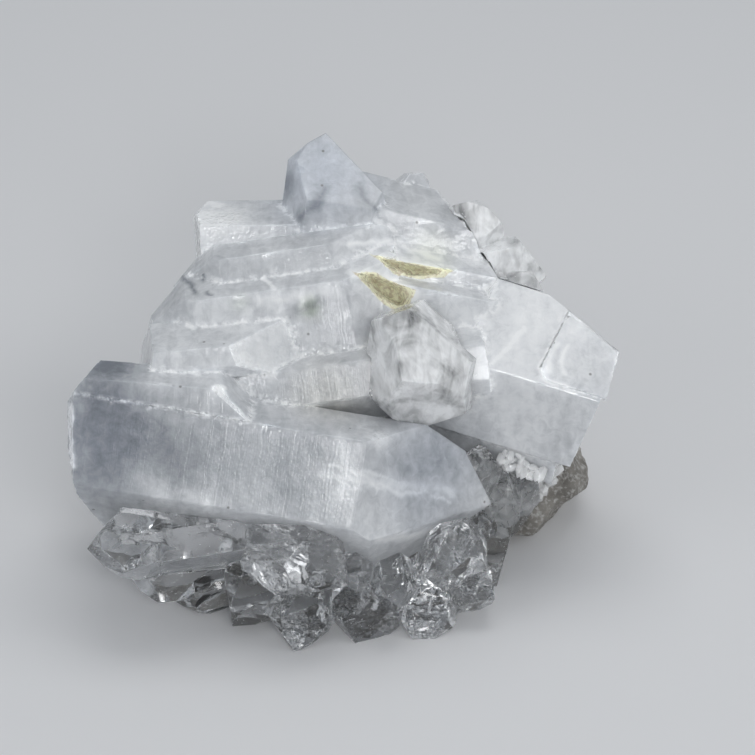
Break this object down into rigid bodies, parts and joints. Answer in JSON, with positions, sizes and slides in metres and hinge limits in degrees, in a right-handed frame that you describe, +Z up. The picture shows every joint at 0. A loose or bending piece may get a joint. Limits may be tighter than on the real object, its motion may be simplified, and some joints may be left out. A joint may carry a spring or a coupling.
{
  "type": "quartz crystal cluster",
  "caption": "Natural cluster of intergrown milky quartz prisms with clear quartz points along the foot, on vein rock sawn flat beneath so that it stands on a shelf.",
  "frame": {"origin": "centre of the footprint's bounding box, on the sawn base", "axes": "+Z up from the sawn base, +X to the right along the great prism, -Y towards the display side"},
  "size_m": [0.1366, 0.1084, 0.0911],
  "materials": {
    "milky_quartz": "glassy, milky white inside",
    "clear_quartz": "water clear",
    "vein_rock": "rough"
  },
  "bodies": {
    "root": {"milky_crystals": "milky_quartz", "clear_crystal_centre": "clear_quartz", "clear_crystals_left": "clear_quartz", "clear_crystals_front": "clear_quartz", "clear_crystals_right": "clear_quartz", "clear_crystals_back": "clear_quartz", "clear_crystals_upper_right": "clear_quartz", "matrix": "vein_rock"}
  },
  "joints": []
}
